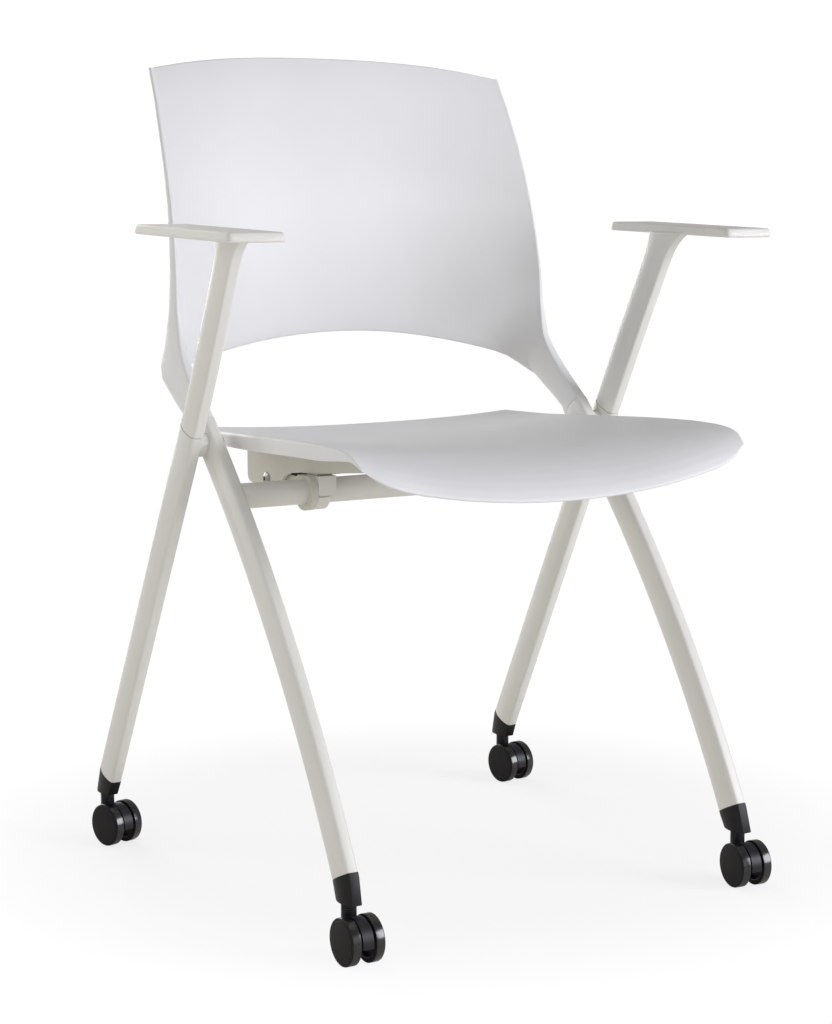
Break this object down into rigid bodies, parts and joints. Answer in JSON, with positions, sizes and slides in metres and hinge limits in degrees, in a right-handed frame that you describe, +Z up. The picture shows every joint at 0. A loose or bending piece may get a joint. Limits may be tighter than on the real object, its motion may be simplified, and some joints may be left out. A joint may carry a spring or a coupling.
{
  "type": "nesting chair",
  "caption": "Armchair with a crossed tube frame on twin-wheel casters, a one-piece arched back and a dished seat that flips up so that chairs nest.",
  "frame": {"origin": "centre of the outline on the floor, under the chair", "axes": "+Z up, -Y the way the sitter faces, +X the sitter's left"},
  "size_m": [0.6194, 0.523, 0.8318],
  "materials": {
    "frame_paint": "satin off-white powder coat",
    "bracket_paint": "satin off-white powder coat",
    "saddle_plastic": "satin off-white moulded plastic",
    "armrest_plastic": "satin off-white moulded plastic",
    "back_plastic": "fine satin near-white moulded plastic",
    "seat_plastic": "fine satin near-white moulded plastic",
    "foot_plastic": "matte black moulded plastic",
    "caster_plastic": "satin black moulded plastic",
    "wheel_plastic": "satin to gloss black moulded plastic",
    "bush_plastic": "plain black plastic",
    "hardware_steel": "zinc-plated steel"
  },
  "bodies": {
    "frame": {"front_leg_right": "frame_paint", "front_leg_left": "frame_paint", "rear_leg_right": "frame_paint", "rear_leg_left": "frame_paint", "cross_tube": "frame_paint", "hub_spacer_right": "frame_paint", "hub_spacer_left": "frame_paint", "hub_bolts": "hardware_steel", "hub_nuts": "hardware_steel", "armrest_right": "armrest_plastic", "armrest_left": "armrest_plastic", "back_shell": "back_plastic", "hinge_arm_right": "bracket_paint", "hinge_arm_left": "bracket_paint", "hinge_bushes": "bush_plastic", "tube_saddle_right": "saddle_plastic", "tube_saddle_left": "saddle_plastic", "foot_front_right": "foot_plastic", "foot_front_left": "foot_plastic", "foot_rear_right": "foot_plastic", "foot_rear_left": "foot_plastic", "caster_stems": "hardware_steel"},
    "seat": {"seat_shell": "seat_plastic", "seat_rail_right": "bracket_paint", "seat_rail_left": "bracket_paint", "seat_screws": "hardware_steel", "pivot_bolts": "hardware_steel", "pivot_nuts": "hardware_steel"},
    "caster_fr": {"caster_fr_body": "caster_plastic", "caster_fr_axle": "hardware_steel"},
    "wheel_fr_a": {"caster_fr_wheel_a": "wheel_plastic"},
    "wheel_fr_b": {"caster_fr_wheel_b": "wheel_plastic"},
    "caster_fl": {"caster_fl_body": "caster_plastic", "caster_fl_axle": "hardware_steel"},
    "wheel_fl_a": {"caster_fl_wheel_a": "wheel_plastic"},
    "wheel_fl_b": {"caster_fl_wheel_b": "wheel_plastic"},
    "caster_rr": {"caster_rr_body": "caster_plastic", "caster_rr_axle": "hardware_steel"},
    "wheel_rr_a": {"caster_rr_wheel_a": "wheel_plastic"},
    "wheel_rr_b": {"caster_rr_wheel_b": "wheel_plastic"},
    "caster_rl": {"caster_rl_body": "caster_plastic", "caster_rl_axle": "hardware_steel"},
    "wheel_rl_a": {"caster_rl_wheel_a": "wheel_plastic"},
    "wheel_rl_b": {"caster_rl_wheel_b": "wheel_plastic"}
  },
  "joints": [
    {"name": "seat_flip", "type": "hinge", "parent": "frame", "child": "seat", "pos_m": [0, 0.0905, 0.4], "axis": [-1, 0, 0], "range_deg": [0, 75]},
    {"name": "caster_fr_swivel", "type": "hinge", "parent": "frame", "child": "caster_fr", "pos_m": [-0.2257, -0.223, 0.053], "axis": [0, 0, 1], "continuous": true},
    {"name": "wheel_fr_a_spin", "type": "hinge", "parent": "caster_fr", "child": "wheel_fr_a", "pos_m": [-0.22584, -0.2385, 0.02225], "axis": [1, -0.0087, 0], "continuous": true},
    {"name": "wheel_fr_b_spin", "type": "hinge", "parent": "caster_fr", "child": "wheel_fr_b", "pos_m": [-0.22584, -0.2385, 0.02225], "axis": [1, -0.0087, 0], "continuous": true},
    {"name": "caster_fl_swivel", "type": "hinge", "parent": "frame", "child": "caster_fl", "pos_m": [0.2257, -0.223, 0.053], "axis": [0, 0, 1], "continuous": true},
    {"name": "wheel_fl_a_spin", "type": "hinge", "parent": "caster_fl", "child": "wheel_fl_a", "pos_m": [0.22392, -0.2384, 0.02225], "axis": [0.9934, -0.1149, 0], "continuous": true},
    {"name": "wheel_fl_b_spin", "type": "hinge", "parent": "caster_fl", "child": "wheel_fl_b", "pos_m": [0.22392, -0.2384, 0.02225], "axis": [0.9934, -0.1149, 0], "continuous": true},
    {"name": "caster_rr_swivel", "type": "hinge", "parent": "frame", "child": "caster_rr", "pos_m": [-0.25456, 0.246, 0.053], "axis": [0, 0, 1], "continuous": true},
    {"name": "wheel_rr_a_spin", "type": "hinge", "parent": "caster_rr", "child": "wheel_rr_a", "pos_m": [-0.25084, 0.23095, 0.02225], "axis": [0.9707, 0.2402, 0], "continuous": true},
    {"name": "wheel_rr_b_spin", "type": "hinge", "parent": "caster_rr", "child": "wheel_rr_b", "pos_m": [-0.25084, 0.23095, 0.02225], "axis": [0.9707, 0.2402, 0], "continuous": true},
    {"name": "caster_rl_swivel", "type": "hinge", "parent": "frame", "child": "caster_rl", "pos_m": [0.25456, 0.246, 0.053], "axis": [0, 0, 1], "continuous": true},
    {"name": "wheel_rl_a_spin", "type": "hinge", "parent": "caster_rl", "child": "wheel_rl_a", "pos_m": [0.25621, 0.23059, 0.02225], "axis": [0.9943, 0.1063, 0], "continuous": true},
    {"name": "wheel_rl_b_spin", "type": "hinge", "parent": "caster_rl", "child": "wheel_rl_b", "pos_m": [0.25621, 0.23059, 0.02225], "axis": [0.9943, 0.1063, 0], "continuous": true}
  ]
}
